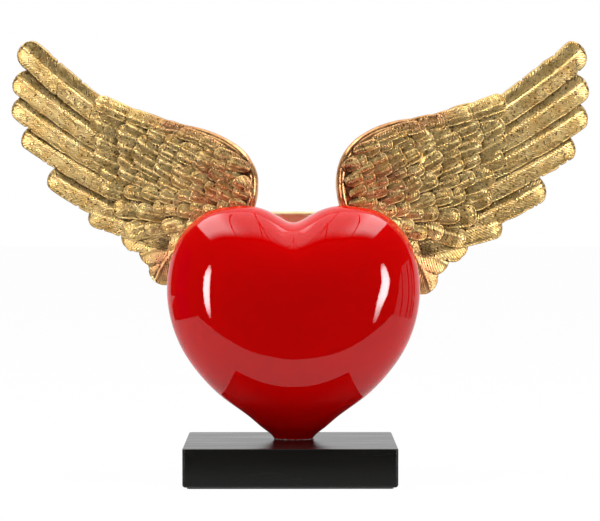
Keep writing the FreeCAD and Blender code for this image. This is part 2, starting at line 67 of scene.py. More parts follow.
camera_data = bpy.data.cameras.new("camera")
camera_data.sensor_width = SENSOR_WIDTH
camera_data.lens = SENSOR_WIDTH * FOCAL_PIXELS / PICTURE_WIDTH
camera_data.clip_start = 0.05
camera = bpy.data.objects.new("camera", camera_data)
camera.location = CAMERA_PLACE
camera.rotation_euler = (math.radians(90 - CAMERA_DOWN), 0, math.radians(-CAMERA_RIGHT))
bpy.context.scene.collection.objects.link(camera)
bpy.context.scene.camera = camera
bpy.context.scene.view_settings.view_transform = "Standard"


# Curves and noise


def smooth_curve(xs, ys, first=None, last=None):
    """A C2 cubic through the points, natural at its ends unless a slope is given there."""
    xs, ys = np.array(xs, float), np.array(ys, float)
    n = len(xs)
    step = np.diff(xs)
    rise = np.diff(ys) / step
    matrix = np.zeros((n, n))
    target = np.zeros(n)
    for i in range(1, n - 1):
        matrix[i, i - 1] = 1 / step[i - 1]
        matrix[i, i] = 2 / step[i - 1] + 2 / step[i]
        matrix[i, i + 1] = 1 / step[i]
        target[i] = 3 * (rise[i - 1] / step[i - 1] + rise[i] / step[i])
    matrix[0, 0] = matrix[-1, -1] = 1
    if first is None:
        matrix[0, :2] = 2, 1
        target[0] = 3 * rise[0]
    else:
        target[0] = first
    if last is None:
        matrix[-1, -2:] = 1, 2
        target[-1] = 3 * rise[-1]
    else:
        target[-1] = last
    slope = np.linalg.solve(matrix, target)

    def value(x):
        x = np.asarray(x, float)
        i = np.clip(np.searchsorted(xs, x) - 1, 0, n - 2)
        h = step[i]
        t = (x - xs[i]) / h
        return (ys[i] * (2 * t**3 - 3 * t**2 + 1) + slope[i] * h * (t**3 - 2 * t**2 + t)
                + ys[i + 1] * (3 * t**2 - 2 * t**3) + slope[i + 1] * h * (t**3 - t**2))

    return value


def hash_grid(ix, iy, seed):
    """A number from 0 to 1 for each crossing of a grid, the same on every run."""
    mixed = np.sin(ix * 127.1 + iy * 311.7 + seed * 74.7) * 43758.5453
    return mixed - np.floor(mixed)


def noise(x, y, seed=0):
    """Smooth value noise from -1 to 1."""
    ix, iy = np.floor(x), np.floor(y)
    fx, fy = x - ix, y - iy
    fx, fy = fx * fx * (3 - 2 * fx), fy * fy * (3 - 2 * fy)
    low = hash_grid(ix, iy, seed) * (1 - fx) + hash_grid(ix + 1, iy, seed) * fx
    high = hash_grid(ix, iy + 1, seed) * (1 - fx) + hash_grid(ix + 1, iy + 1, seed) * fx
    return 2 * (low * (1 - fy) + high * fy) - 1


def step_up(x, start, end):
    """0 before the start and 1 past the end, with a smooth rise between them."""
    t = np.clip((x - start) / (end - start), 0, 1)
    return t * t * (3 - 2 * t)


# Meshes


def set_values(mesh, label, values):
    """Stores one value for each point, which a material reads by its label."""
    attribute = mesh.attributes.new(label, "FLOAT", "POINT")
    attribute.data.foreach_set("value", np.asarray(values, np.float32))


def make_object(name, places, faces, sharp=None, values=None):
    """A mesh object from points in millimetres, riding on the one body. Edges past the angle stay sharp."""
    mesh = bpy.data.meshes.new(name)
    mesh.from_pydata((np.asarray(places) * MM).tolist(), [], faces)
    mesh.validate()
    for label, value in (values or {}).items():
        set_values(mesh, label, value)
    mesh.shade_smooth()
    if sharp:
        mesh.set_sharp_from_angle(angle=math.radians(sharp))
    piece = bpy.data.objects.new(name, mesh)
    bpy.context.scene.collection.objects.link(piece)
    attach(piece, "root")
    return piece


def grid_faces(rows, columns, start=0, closed=False):
    """Quads of a grid of rows by columns points, closed round along its columns if asked."""
    r = np.arange(rows - 1)[:, None]
    c = np.arange(columns if closed else columns - 1)[None, :]
    c2 = (c + 1) % columns
    quads = np.stack(np.broadcast_arrays(r * columns + c, r * columns + c2, (r + 1) * columns + c2,
                                         (r + 1) * columns + c), -1)
    return (quads.reshape(-1, 4) + start).tolist()


# Heart. Its outline is measured from the height where it is widest.

HEART_HALF = 88.0
HEART_DEEP = 45.0
HEART_TALL = 162.5
HEART_WIDEST = 0.612
HEART_DROP = HEART_WIDEST * HEART_TALL
# Above that height: degrees from the side up, and the radius as a share of the half width
HEART_UPPER = [
    (0, 1.0), (8, 1.004), (18, 1.013), (28, 1.012), (36, 0.99), (44, 0.955), (53, 0.879), (63, 0.802),
    (75.5, 0.682), (90, 0.574),
]
# How high the heart's crown is near its front and back poles, where it has no dip
HEART_CROWN = 0.68
# Below that height: half width, and height above the block, both as shares
HEART_LOWER = [
    (1.0, 1.0), (0.959, 0.789), (0.878, 0.621), (0.744, 0.453), (0.553, 0.285), (0.297, 0.118),
    (0.243, 0.075), (0.170, 0.030), (0.137, -0.012), (0.118, -0.08), (0.0, -0.16),
]
HEART_RINGS = 121
HEART_POLE_ANGLE = 88.5
POINTS_ABOVE = 49
POINTS_BELOW = 64

# The bead of glue round the heart's tip: half its width and depth, steps round it and sides of its section
GLUE_HALF = (12.6, 6.4)
GLUE_STEPS = 120
GLUE_SIDES = 12


def heart_sections():
    """Rings round the heart from its front pole to its back one, each from the dip round the right side."""
    angles, radii = zip(*HEART_UPPER)
    radius = smooth_curve(np.radians(angles), radii, 0, 0)
    widths, heights = np.array(HEART_LOWER).T
    length = np.concatenate([[0], np.cumsum(np.hypot(np.diff(widths), np.diff(heights) * 0.7))])
    width_at, height_at = smooth_curve(length, widths, 0), smooth_curve(length, heights, last=0)
    fine = np.linspace(0, length[-1], 4000)
    fine_width = np.minimum.accumulate(width_at(fine))
    rings = []
    for turn in np.radians(np.linspace(-HEART_POLE_ANGLE, HEART_POLE_ANGLE, HEART_RINGS)):
        spread, depth = math.cos(turn), abs(math.sin(turn))
        theta = np.radians(np.linspace(90, 0, POINTS_ABOVE))
        oval = 1 / np.hypot(np.cos(theta), np.sin(theta) / HEART_CROWN)
        reach = spread * (oval + (radius(theta) - oval) * spread**2.2)
        up_x, up_z = np.cos(theta) * reach * HEART_HALF, np.sin(theta) * reach * HEART_HALF
        end = np.interp(-depth, -fine_width, fine)
        share = np.linspace(0, 1, POINTS_BELOW + 1)[1:]
        along = end * (1 - (1 - share)**2)
        width = width_at(along)
        down_x = np.sqrt(np.clip(width**2 - depth**2, 0, None)) * HEART_HALF
        down_x[-1] = 0
        down_z = (height_at(along) - 1) * HEART_DROP
        x = np.concatenate([up_x, down_x])
        z = np.concatenate([up_z, down_z])
        x = np.concatenate([x, -x[-2:0:-1]])
        z = np.concatenate([z, z[-2:0:-1]])
        rings.append(np.stack([x, np.full_like(x, math.sin(turn) * HEART_DEEP), z], -1))
    return np.array(rings)


def soften_rings(rings, times):
    """Evens out the surface where the upper and lower outlines meet."""
    for _ in range(times):
        mean = (np.roll(rings, 1, 1) + np.roll(rings, -1, 1)) / 2
        rings = rings * 0.5 + mean * 0.5
    return rings


def make_heart():
    """The heart, cut flat at its foot and at the seat on its back."""
    rings = soften_rings(heart_sections(), 6)
    rings += np.array([HEART_X, HEART_Y, BASE_TOP + HEART_DROP])
    count, around = rings.shape[:2]
    places = rings.reshape(-1, 3)
    faces = grid_faces(count, around, closed=True)
    poles = np.stack([rings[0].mean(0), rings[-1].mean(0)])
    poles[:, 1] = HEART_Y - HEART_DEEP, HEART_Y + HEART_DEEP
    front, back = len(places), len(places) + 1
    for i in range(around):
        faces.append([front, (i + 1) % around, i])
        last = (count - 1) * around
        faces.append([back, last + i, last + (i + 1) % around])
    heart = make_object("heart_shell", np.concatenate([places, poles]), faces)
    flat = bmesh.new()
    flat.from_mesh(heart.data)
    bmesh.ops.recalc_face_normals(flat, faces=flat.faces)
    foot, seat = ((0, 0, BASE_TOP * MM), (0, 0, -1)), ((0, SEAT * MM, 0), (0, 1, 0))
    for place, facing in (foot, seat):
        everything = flat.verts[:] + flat.edges[:] + flat.faces[:]
        cut = bmesh.ops.bisect_plane(
            flat, geom=everything, plane_co=place, plane_no=facing, clear_outer=True)
        rim = [e for e in cut["geom_cut"] if isinstance(e, bmesh.types.BMEdge)]
        bmesh.ops.holes_fill(flat, edges=rim, sides=0)
        for edge in rim:
            edge.smooth = False
    flat.to_mesh(heart.data)
    flat.free()
    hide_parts("heart_body")
    return heart


def make_glue():
    """A thin, uneven bead of clear glue squeezed out round the heart's tip."""
    turns = np.radians(np.arange(GLUE_STEPS) * (360 / GLUE_STEPS))
    level = np.zeros_like(turns)
    size = 0.45 + 0.28 * noise(turns * 7, level, 5) + 0.20 * noise(turns * 19, level, 6)
    rings = []
    for angle in np.radians(np.arange(GLUE_SIDES) * (360 / GLUE_SIDES)):
        out = size * (1.0 + np.cos(angle)) + 0.2
        x = HEART_X + (GLUE_HALF[0] + out) * np.cos(turns)
        y = HEART_Y + (GLUE_HALF[1] + out) * np.sin(turns)
        rings.append(np.stack([x, y, BASE_TOP + size * 0.9 * np.sin(angle) + 0.1], -1))
    tube = np.stack(rings, 1)
    faces = grid_faces(GLUE_STEPS, GLUE_SIDES, closed=True)
    last = (GLUE_STEPS - 1) * GLUE_SIDES
    for i in range(GLUE_SIDES):
        beside = (i + 1) % GLUE_SIDES
        faces.append([last + i, last + beside, beside, i])
    return make_object("glue_bead", tube.reshape(-1, 3), faces)


# Wings, drawn in their own plane: p runs outwards, q up and h towards the front, from the wing's back

# The wings' middle lies this far to the right of the block's, and each wing starts this far out from there
WINGS_X = 4.3
WING_GAP_HALF = 22.7

# A flight feather: root, tip, width, and how far it bows to its leading edge
FLIGHT_FEATHERS = [
    ((101, 52), (188.6, 114.3), 22.0, -2.5),
    ((103, 35), (190.5, 90), 23.0, -1.0),
    ((104, 21), (190, 69.5), 22.5, -1.5),
    ((98, 3), (181, 46.5), 22.0, -1.0),
    ((82, -20), (159.5, 15.5), 22.0, -1.5),
    ((66, -29), (127, -12.5), 21.0, 1.0),
    ((52, -22), (102, -29), 23.0, -2.0),
    ((46, -22), (87, -43), 23.0, 0.5),
    ((50, -24), (74, -62), 21.0, 2.5),
]
# The first flight feathers lie deeper than the others
OUTER_FLIGHTS = 5
OUTER_TOP = 4.2
INNER_TOP = 5.6
# A row of coverts: how many, the bent line of their tips, their length, the widths at both ends of the row,
# the height of the tips and the distance between barbs
COVERT_ROWS = [
    (8, ((125, 68), (124, 30), (100, -23)), 48, (17.0, 16.0), 7.4, 2.3),
    (9, ((101, 64), (109, 34), (84, -22)), 38, (14.5, 13.0), 8.6, 2.1),
    (9, ((84, 59), (95, 31), (72, -20)), 33, (13.5, 12.0), 9.6, 2.0),
    (9, ((68, 55), (80, 28), (62, -17)), 30, (12.5, 11.0), 10.4, 1.9),
    (8, ((57, 51), (66, 25), (53, -14)), 27, (12.0, 10.5), 11.0, 1.8),
    (8, ((46, 47), (54, 22), (46, -12)), 24, (11.5, 10.0), 11.6, 1.8),
    (7, ((37, 42), (43, 20), (39, -10)), 20, (11.0, 9.5), 12.0, 1.8),
    (6, ((28, 36), (33, 17), (32, -7)), 17, (10.5, 9.0), 12.2, 1.8),
    (5, ((20, 28), (24, 14), (25, -4)), 13, (9.5, 8.5), 12.2, 1.8),
]
# Shares of the way along a row, and the degrees that its feathers turn up there
COVERT_TURNS = ((0, 0.3, 0.6, 0.85, 1), (16, 25, 24, 8, -16))
# Feathers that lie along the wing's leading edge: root, tip, width, bow and height
EDGE_FEATHERS = [
    ((84, 58.5), (128, 75.5), 14.0, 0.5, 8.4),
    ((66, 56), (103, 66.5), 12.5, 0.8, 9.6),
    ((48, 53), (83, 60.5), 11.5, 1.4, 10.6),
    ((36, 47.5), (65, 56.5), 10.5, 1.6, 11.4),
    ((27, 41), (49, 52), 9.5, 1.6, 11.8),
]
# The core that the feathers stand on, and the rise of the shoulder over it
PLATE_EDGE = [
    (7, 14), (7.5, 28), (13, 40), (24, 50), (46, 60), (69, 62), (92, 66), (108, 66), (115, 52), (113, 36),
    (106, 8), (94, -14), (80, -28), (68, -38), (58, -37), (46, -28), (14, -12),
]
SHOULDER_EDGE = [
    (6, 13), (7.3, 26), (12.5, 38), (23, 48), (37, 55), (54, 59), (70, 59), (72, 40), (60, 14), (40, -4),
    (22, -9), (10, -2),
]
ROOT_BLOCK_EDGE = [(12, -2), (12, -36), (50, -36), (50, -6)]
# The worn border of the shoulder, from the root round the bend of the wing, and the point from which it
# runs outwards
RIM_LINE = [
    (22, -12), (12, -8), (7, 2), (5.5, 13), (6.5, 27), (12, 39.5), (23, 50), (37, 57), (54, 61.5),
    (72, 63.5), (90, 67.5),
]
RIM_OUTWARDS_FROM = 3
RIM_STEPS = 110
RIM_SIDES = 20


class Heap:
    """Gathers closed pieces into one mesh, with the values that its material reads at each point."""

    def __init__(self):
        self.places, self.faces, self.grooves, self.barbs, self.count = [], [], [], [], 0

    def add(self, places, faces, groove, barb=0.0):
        self.faces += [[i + self.count for i in face] for face in faces]
        self.places.append(places)
        self.grooves.append(np.broadcast_to(groove, len(places)))
        self.barbs.append(np.broadcast_to(barb, len(places)))
        self.count += len(places)


def blade_faces(rows, columns):
    """Front and back grids of a feather and the band that joins them."""
    total = rows * columns
    faces = [face[::-1] for face in grid_faces(rows, columns)] + grid_faces(rows, columns, total)
    ring = list(range(columns)) + [r * columns + columns - 1 for r in range(1, rows)]
    ring += [(rows - 1) * columns + c for c in range(columns - 2, -1, -1)]
    ring += [r * columns for r in range(rows - 2, 0, -1)]
    return faces + [[a, b, b + total, a + total] for a, b in zip(ring, ring[1:] + ring[:1])]


def feather_edge(u, v, length, rng, splits, seed):
    """How far the blade's edge is eaten in where its barbs have parted."""
    side = np.where(v > 0, 1.0, -1.0)
    edge = 1 + 0.04 * noise(u * length / 6 + seed, side * 9.0, seed) * np.abs(v)
    for _ in range(splits):
        where, lead = rng.uniform(0.5, 0.95), rng.choice([-1, 1])
        depth = rng.uniform(0.08, 0.18)
        notch = np.exp(-((u - where - 0.10 * (1 - np.abs(v))) * length / 0.8)**2)
        edge = edge - depth * notch * (side == lead) * np.abs(v)**2
    return edge


def add_feather(heap, root, tip, width, bow, top, seed, pitch=0.0, ridge=2.0, tilt=6.0, splits=2, thick=3.0,
                tuck=0.0, shaft_shift=0.0, roof=0.16, narrow=0.5, dull=0.0):
    """One feather: two vanes that slope from a raised shaft to a thin lip, slanting barbs, a few split barbs
    and a blunt round tip, with painted shade in its hollows. A positive pitch leans its tip back, tuck widens
    the part that lies under the feather before it, narrow is its width at the root, and dull darkens its
    colour evenly all over."""
    rng = np.random.default_rng(seed)
    root, tip = np.array(root, float), np.array(tip, float)
    length = float(np.hypot(*(tip - root)))
    along = (tip - root) / length
    across = np.array([-along[1], along[0]])
    half = width / 2

    # Its plan: u runs from root to tip, and v from one edge to the other
    rows = int(np.clip(length / ridge * 4.5, 24, 210))
    columns = int(np.clip(width * 1.3, 13, 27)) // 2 * 2 + 1
    u = (1 - (1 - np.linspace(0, 1, rows))**1.15)[:, None]
    even = np.linspace(-1, 1, columns)[None, :]
    v = np.sin(even * math.pi / 2) * 0.5 + even * 0.5
    tip_from = 1 - 0.9 * half / length
    end = np.sqrt(np.clip(1 - np.clip((u - tip_from) / (1 - tip_from), 0, 1)**2.6, 0, 1))
    grow = np.interp(u, [0, 0.3, 0.7, 1], [narrow, 0.95, 1.0, 0.97])
    grow = grow + tuck * (v > 0) * (1 - step_up(u, 0.6, 0.9))
    offset = v * np.maximum(half * grow * end, 0.12) * feather_edge(u, v, length, rng, splits, seed)
    bend = bow * 4 * u * (1 - u)
    plan = root + along * (u * length)[..., None] + across * (offset + bend)[..., None]

    # Its barbs
    from_shaft = np.abs(offset - shaft_shift * half * (1 - 0.6 * u))
    slant = (u * length - 1.15 * from_shaft) / ridge
    slant = slant + 0.45 * noise(u * length / 9 + seed, v * 1.5 + seed, seed + 3)
    fade = step_up(from_shaft, 0.5, 2.0) * (1 - 0.4 * step_up(np.abs(v), 0.85, 1.0))
    barbs = np.sin(slant * math.pi)**2
    strength = 0.55 + 0.45 * noise(u * length / 7 - seed, v * 2.2, seed + 7)

    # The heights of its front and back
    from_edge = np.minimum((1 - np.abs(v)) * half, (1 - u) * length)
    lip = 0.30 * np.exp(-((from_edge - 0.9) / 0.8)**2) - 0.55 * np.exp(-(from_edge / 0.45)**2)
    droop = -0.03 * width * step_up(u, tip_from, 1.0)
    shaft_line = np.exp(-(from_shaft / 0.85)**2)
    shaft = (0.85 - 0.35 * u) * shaft_line * (1 - step_up(u, 0.92, 1.0))
    vanes = roof * (half - from_shaft) + 0.12 * np.abs(noise(u * length / 16, v * half / 1.6, seed + 11))
    lie = top + math.tan(math.radians(pitch)) * (1 - u) * length - math.tan(math.radians(tilt)) * offset
    if pitch > 0:
        lie = lie - math.tan(math.radians(pitch)) * length
    front = lie + vanes + droop + shaft + lip + (0.36 * strength + 0.14) * (barbs - 0.6) * fade
    hollow = 1.1 + (thick - 1.1) * np.sqrt(np.clip(1 - v**2, 0, 1))
    back = lie + vanes * 0.6 + droop - hollow + 0.5 * shaft_line

    # Painted shade: its colour is darkened along its edges, at its root under the feather before it and
    # beside one side of its shaft, less on the raised shaft, and a little more on its back
    groove = dull + 0.9 * np.exp(-(from_edge / 0.35)**2) - 0.3 * shaft_line
    groove = groove + 0.5 * (1 - step_up(u * length, 3, 12))
    groove = groove + 0.35 * np.exp(-((from_shaft - 1.8) / 0.8)**2) * (offset < shaft_shift * half)

    places = [np.stack([plan[..., 0], plan[..., 1], face], -1).reshape(-1, 3) for face in (front, back)]
    grooves = np.clip(np.concatenate([groove.ravel(), groove.ravel() + 0.1]), 0, 1)
    heap.add(np.concatenate(places), blade_faces(rows, columns), grooves, np.tile(slant.ravel(), 2))


def on_line(line, share):
    """The place a share of the way along a bent line through three points."""
    first, middle, last = (np.array(p, float) for p in line)
    before = first * (1 - share) * (1 - 2 * share)
    return before + middle * 4 * share * (1 - share) + last * share * (2 * share - 1)


def add_slab(heap, outline, low, high, bevel, groove):
    """A slab over a closed outline with rounded edges."""
    outline = np.array(outline, float)
    middle = outline.mean(0)
    rings = []
    for share, height in ((1.2, low), (0.35, low + 0.25 * bevel), (0, low + bevel), (0, high - bevel),
                          (0.35, high - 0.25 * bevel), (1.2, high)):
        inward = middle - outline
        inward /= np.linalg.norm(inward, axis=1)[:, None]
        flat = outline + inward * bevel * share
        rings.append(np.concatenate([flat, np.full((len(flat), 1), height)], 1))
    count = len(outline)
    faces = grid_faces(len(rings), count, closed=True)
    faces += [list(range(count))[::-1], [(len(rings) - 1) * count + i for i in range(count)]]
    heap.add(np.concatenate(rings), faces, groove)


def round_line(points, steps, closed=False):
    """Many points on a smooth line through a few."""
    points = np.array(points, float)
    if closed:
        points = np.concatenate([points[-3:], points, points[:4]])
    length = np.concatenate([[0], np.cumsum(np.linalg.norm(np.diff(points, axis=0), axis=1))])
    curves = [smooth_curve(length, points[:, i]) for i in range(points.shape[1])]
    start, end = (length[3], length[-4]) if closed else (0, length[-1])
    spots = np.linspace(start, end, steps, endpoint=not closed)
    return np.stack([curve(spots) for curve in curves], -1)


def inside_rim(place, room):
    """The place, moved inwards if it lies within the given room of the shoulder's border."""
    rim_p, rim_q = np.array(RIM_LINE).T
    upper_p, upper_q = rim_p[RIM_OUTWARDS_FROM:], rim_q[RIM_OUTWARDS_FROM:]
    highest = np.interp(place[0], upper_p, upper_q, right=200) - room
    low_q = min(place[1], highest)
    return np.array([max(place[0], np.interp(low_q, rim_q, rim_p) + 0.7 * room), low_q])


def add_rim(heap, seed):
    """The rounded, worn border of the shoulder."""
    line = round_line(RIM_LINE, RIM_STEPS)
    direction = np.gradient(line, axis=0)
    direction /= np.linalg.norm(direction, axis=1)[:, None]
    outward = np.stack([-direction[:, 1], direction[:, 0]], -1)
    share = np.linspace(0, 1, len(line))
    size = (1 - 0.55 * share) * np.sqrt(np.clip(np.minimum(share, 1 - share) * 25, 0.002, 1))
    rings = []
    for turn in np.linspace(0, 2 * math.pi, RIM_SIDES, endpoint=False):
        wobble = 1 + 0.06 * noise(share * 22, np.full_like(share, turn), seed)
        sideways = 4.0 * size * wobble * math.cos(turn)
        upwards = (6.6 - 2.4 * share) * size * wobble * math.sin(turn)
        plan = line + outward * (sideways - 3.3 * size)[:, None]
        rings.append(np.concatenate([plan, (6.2 - 1.2 * share + upwards)[:, None]], 1))
    tube = np.stack(rings, 1)
    faces = grid_faces(RIM_STEPS, RIM_SIDES, closed=True)
    faces += [list(range(RIM_SIDES))[::-1], [(RIM_STEPS - 1) * RIM_SIDES + i for i in range(RIM_SIDES)]]
    heap.add(tube.reshape(-1, 3), faces, 0.1)


def wing_pieces(seed):
    """The core, root and shoulder of a wing, its feathers from the lowest to the highest, and its border."""
    heap = Heap()
    # Painted shade: the core and the root block are darkened where they lie under the feathers, the shoulder
    # only a little
    add_slab(heap, round_line(PLATE_EDGE, 140, closed=True), 0.4, 3.8, 1.4, 1.0)
    add_slab(heap, ROOT_BLOCK_EDGE, 0.0, 7.5, 1.0, 0.6)
    add_slab(heap, round_line(SHOULDER_EDGE, 80, closed=True), 3.0, 10.0, 2.0, 0.1)
    for i, (root, tip, width, bow) in enumerate(FLIGHT_FEATHERS):
        tuck = 0.0 if i == 0 else 0.5
        top = OUTER_TOP if i < OUTER_FLIGHTS else INNER_TOP
        add_feather(heap, root, tip, width, bow, top, seed + i, pitch=3.5, ridge=2.5, splits=4, tilt=7,
                    tuck=tuck, shaft_shift=0.22, roof=0.14, narrow=0.8, dull=0.34)
    rng = np.random.default_rng(seed + 500)
    for level, (count, tips, long, widths, top, ridge) in enumerate(COVERT_ROWS):
        for i in range(count):
            share = i / (count - 1)
            width = (widths[0] + (widths[1] - widths[0]) * share) * rng.uniform(0.9, 1.15)
            turn = math.radians(np.interp(share, *COVERT_TURNS) + rng.uniform(-6, 6))
            tip = inside_rim(on_line(tips, share) + rng.uniform(-2.2, 2.2, 2), 0.5 * width)
            reach = long * rng.uniform(0.95, 1.05)
            root = inside_rim(tip - reach * np.array([math.cos(turn), math.sin(turn)]), 0.2 * width + 1)
            add_feather(heap, root, tip, width, rng.uniform(-0.6, 0.6), top + rng.uniform(-0.3, 0.5),
                        seed + 20 * (level + 1) + i, pitch=-5.0, ridge=ridge, splits=1, tilt=5, thick=2.4,
                        shaft_shift=rng.uniform(-0.1, 0.25), roof=0.12)
    for i, (root, tip, width, bow, top) in enumerate(EDGE_FEATHERS):
        add_feather(heap, root, tip, width, bow, top, seed + 300 + i, pitch=-3.0, ridge=2.0, splits=1,
                    tilt=3, thick=2.6, roof=0.10)
    add_rim(heap, seed)
    return heap


def turn_pair(first, second, degrees):
    c, s = math.cos(math.radians(degrees)), math.sin(math.radians(degrees))
    return first * c - second * s, first * s + second * c


def copper_share(p, q, seed):
    """How far the gold turns copper red: along the border, on the shoulder and low beside the heart."""
    gap = np.full(len(p), np.inf)
    for spot in round_line(RIM_LINE, 80)[8:]:
        gap = np.minimum(gap, np.hypot(p - spot[0], q - spot[1]))
    patch = noise(p / 9, q / 7, seed + 40) * 0.6 + noise(p / 3.5, q / 3.5, seed + 41) * 0.4
    copper = 0.9 * (1 - step_up(gap, 1.5, 13)) * (1 - step_up(p, 70, 105)) + 0.25 * patch
    copper += 1.0 * np.exp(-((p - 42) / 14)**2 - ((q - 18) / 14)**2) * (0.6 + patch)
    copper += 1.5 * np.exp(-((p - 62) / 16)**2 - ((q + 48) / 13)**2)
    return np.clip(copper, 0, 1)


def make_wing(name, side, sweep, cant, rise, drop, stretch, seed):
    """A wing on the given side: sweep leans it back and cant turns its tips up, both in degrees. Rise and
    stretch are its height and span as shares, and drop is how far its root lies below the lobes' top."""
    heap = wing_pieces(seed)
    places = np.concatenate(heap.places)
    p, q, h = places.T
    x, y, z = p * stretch, -h, q * rise
    x, z = turn_pair(x, z, cant)
    x, y = turn_pair(x, y, sweep)
    x = WINGS_X + side * (WING_GAP_HALF + x)
    moved = np.stack([x, y + SEAT, z + HEART_TOP - drop], -1)
    faces = heap.faces if side > 0 else [face[::-1] for face in heap.faces]
    values = {
        "groove": np.concatenate(heap.grooves),
        "barb": np.concatenate(heap.barbs),
        "copper": copper_share(p, q, seed),
    }
    wing = make_object(name + "_feathers", moved, faces, sharp=80, values=values)
    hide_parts(name)
    return wing


# Materials


class Nodes:
    """Short calls for building a material's nodes."""

    def __init__(self, name):
        self.material = bpy.data.materials.new(name)
        self.material.use_nodes = True
        self.tree = self.material.node_tree
        self.shader = self.tree.nodes["Principled BSDF"]

    def node(self, kind, **settings):
        made = self.tree.nodes.new("ShaderNode" + kind)
        for key, value in settings.items():
            setattr(made, key, value)
        return made

    def link(self, source, target):
        self.tree.links.new(source, target)

    def set(self, **values):
        for key, value in values.items():
            self.shader.inputs[key.replace("_", " ")].default_value = value

    def noise(self, scale, detail=4.0, roughness=0.6, stretch=(1, 1, 1)):
        place = self.node("TexCoord")
        mapping = self.node("Mapping")
        mapping.inputs["Scale"].default_value = stretch
        self.link(place.outputs["Object"], mapping.inputs["Vector"])
        texture = self.node("TexNoise")
        texture.inputs["Scale"].default_value = scale
        texture.inputs["Detail"].default_value = detail
        texture.inputs["Roughness"].default_value = roughness
        self.link(mapping.outputs[0], texture.inputs["Vector"])
        return texture.outputs[0]

    def attribute(self, name):
        """The value that a mesh stores at its points under this name."""
        return self.node("Attribute", attribute_name=name).outputs["Fac"]

    def ramp(self, source, *stops):
        """Stops are places with a colour or a plain level."""
        ramp = self.node("ValToRGB")
        elements = ramp.color_ramp.elements
        while len(elements) < len(stops):
            elements.new(0.5)
        for element, (place, colour) in zip(elements, stops):
            element.position = place
            element.color = (*colour, 1) if isinstance(colour, tuple) else (colour, colour, colour, 1)
        self.link(source, ramp.inputs[0])
        return ramp.outputs[0]

    def mix(self, factor, first, second):
        mix = self.node("Mix", data_type="RGBA")
        for value, socket in ((factor, mix.inputs[0]), (first, mix.inputs[6]), (second, mix.inputs[7])):
            if isinstance(value, bpy.types.NodeSocket):
                self.link(value, socket)
            else:
                socket.default_value = (*value, 1) if isinstance(value, tuple) else value
        return mix.outputs[2]

    def maths(self, how, first, second=0.0, clamp=False):
        maths = self.node("Math", operation=how, use_clamp=clamp)
        for value, socket in ((first, maths.inputs[0]), (second, maths.inputs[1])):
            if isinstance(value, bpy.types.NodeSocket):
                self.link(value, socket)
            else:
                socket.default_value = value
        return maths.outputs[0]

    def smooth_range(self, source, low, high, low_value, high_value):
        """A value that goes smoothly from one level to another as the source rises from low to high."""
        steps = self.node("MapRange", interpolation_type="SMOOTHSTEP")
        limits = (("From Min", low), ("From Max", high), ("To Min", low_value), ("To Max", high_value))
        for name, value in limits:
            steps.inputs[name].default_value = value
        self.link(source, steps.inputs["Value"])
        return steps.outputs[0]

    def bump(self, height, distance, strength=1.0, before=None):
        bump = self.node("Bump")
        bump.inputs["Strength"].default_value = strength
        bump.inputs["Distance"].default_value = distance
        self.link(height, bump.inputs["Height"])
        if before:
            self.link(before, bump.inputs["Normal"])
        return bump.outputs[0]

    def to(self, source, name):
        """Feeds a socket of the shader."""
        self.link(source, self.shader.inputs[name])


def heart_paint():
    """Deep red under a clear coat that shows a faint peel."""
    n = Nodes("heart_paint")
    clouds = n.noise(14, 3)
    n.to(n.ramp(clouds, (0.3, (0.60, 0.0, 0.0)), (0.7, (0.66, 0.0, 0.0))), "Base Color")
    n.to(n.ramp(n.noise(60, 3), (0.3, 0.30), (0.7, 0.40)), "Roughness")
    n.set(Specular_IOR_Level=0.0, Coat_Weight=1.0, Coat_Roughness=0.012, Coat_IOR=1.41)
    peel = n.bump(n.noise(420, 2, 0.4), 0.00002, 0.35)
    wave = n.bump(n.noise(35, 2, 0.4), 0.0004, 0.06, peel)
    n.to(wave, "Coat Normal")
    n.to(wave, "Normal")
    return n.material


def gold_leaf():
    """Beaten metal leaf over a casting: ribbed, turned copper red in places, and darkened to brown by painted
    shade in its crevices.
    """
    n = Nodes("gold_leaf")
    groove, copper, barb = n.attribute("groove"), n.attribute("copper"), n.attribute("barb")
    gold = n.ramp(n.noise(110, 4, 0.6), (0.32, (0.68, 0.42, 0.12)), (0.68, (0.97, 0.72, 0.30)))
    copper_red = n.ramp(n.noise(140, 4, 0.6), (0.35, (0.36, 0.10, 0.04)), (0.65, (0.66, 0.31, 0.14)))
    spread = n.maths("MULTIPLY", copper, n.ramp(n.noise(110, 4, 0.6), (0.35, 0.6), (0.6, 1.0)))
    colour = n.mix(n.maths("MULTIPLY", spread, 0.95, clamp=True), gold, copper_red)
    # Painted shade: an ambient occlusion reading darkens the gold towards brown where feathers crowd and
    # overlap
    hidden = n.node("AmbientOcclusion", samples=10)
    hidden.inputs["Distance"].default_value = 0.0035
    occlusion_shade = n.ramp(hidden.outputs["AO"], (0.48, 1.0), (0.95, 0.0))
    wave = n.maths("SINE", n.maths("MULTIPLY", barb, math.pi))
    ribs = n.maths("MULTIPLY", wave, wave)
    # Painted shade: the stronger of the occlusion shade and the feathers' groove shade mixes the gold towards
    # dark brown
    painted_shade = n.maths("MAXIMUM", occlusion_shade, groove)
    colour = n.mix(n.ramp(painted_shade, (0.10, 0.0), (0.95, 0.94)), colour, (0.075, 0.034, 0.010))
    n.to(colour, "Base Color")
    n.to(n.ramp(n.noise(480, 4, 0.6), (0.3, 0.22), (0.7, 0.38)), "Roughness")
    n.set(Metallic=0.84)
    hairs = n.bump(ribs, 0.0002, 0.65)
    folds = n.bump(n.noise(330, 1.5, 0.5), 0.0005, 0.34, hairs)
    n.to(n.bump(n.noise(800, 1, 0.5), 0.00012, 0.3, folds), "Normal")
    return n.material


